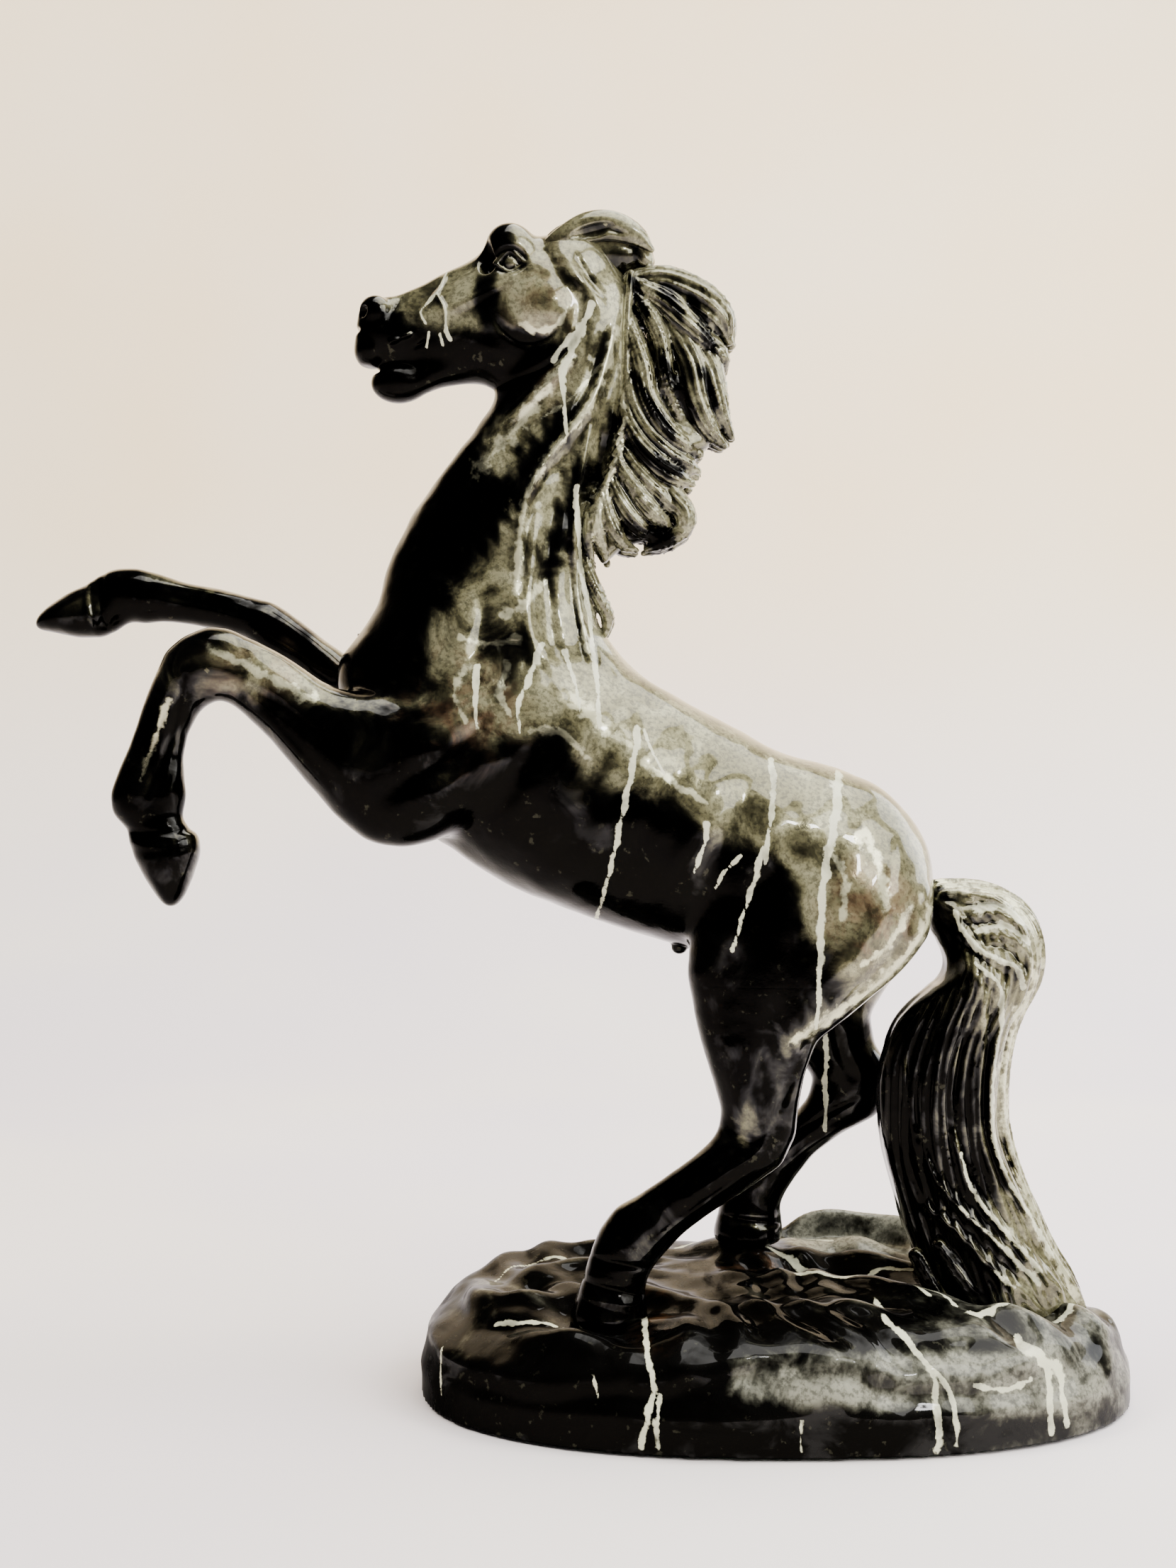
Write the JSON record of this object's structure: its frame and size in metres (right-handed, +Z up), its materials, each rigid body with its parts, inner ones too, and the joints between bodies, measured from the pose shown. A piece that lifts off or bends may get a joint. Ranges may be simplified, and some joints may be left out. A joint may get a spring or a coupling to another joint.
{
  "type": "horse statue",
  "caption": "Rearing horse figure in dark glossy bronze on an oval rock base, forelegs raised, mane and tail flowing, standing on its hind legs and tail with a felt-covered flat underside",
  "frame": {"origin": "centre of the flat underside of the felt pad, which rests on the table", "axes": "+Z up, the horse faces -X, its left side faces -Y"},
  "size_m": [0.406, 0.142, 0.43],
  "materials": {
    "bronze": "cast bronze with a near-black, high-gloss patina and pale mineral runs",
    "cover_plate": "black painted sheet steel, satin",
    "felt": "dark green wool felt",
    "steel": "plain turned steel"
  },
  "bodies": {
    "root": {"base_casting": "bronze", "torso_casting": "bronze", "neck_casting": "bronze", "head_casting": "bronze", "near_ear": "bronze", "off_ear": "bronze", "mane_casting": "bronze", "near_foreleg": "bronze", "off_foreleg": "bronze", "near_hindleg": "bronze", "off_hindleg": "bronze", "tail_casting": "bronze", "base_cover": "cover_plate", "felt_pad": "felt", "cover_screws": "steel", "neck_dowels": "steel", "head_dowels": "steel", "foreleg_dowels": "steel", "hindleg_dowels": "steel", "tail_dowel": "steel", "mane_pins": "steel", "ear_pins": "steel", "base_studs": "steel", "stud_washers": "steel", "stud_nuts": "steel"}
  },
  "joints": []
}
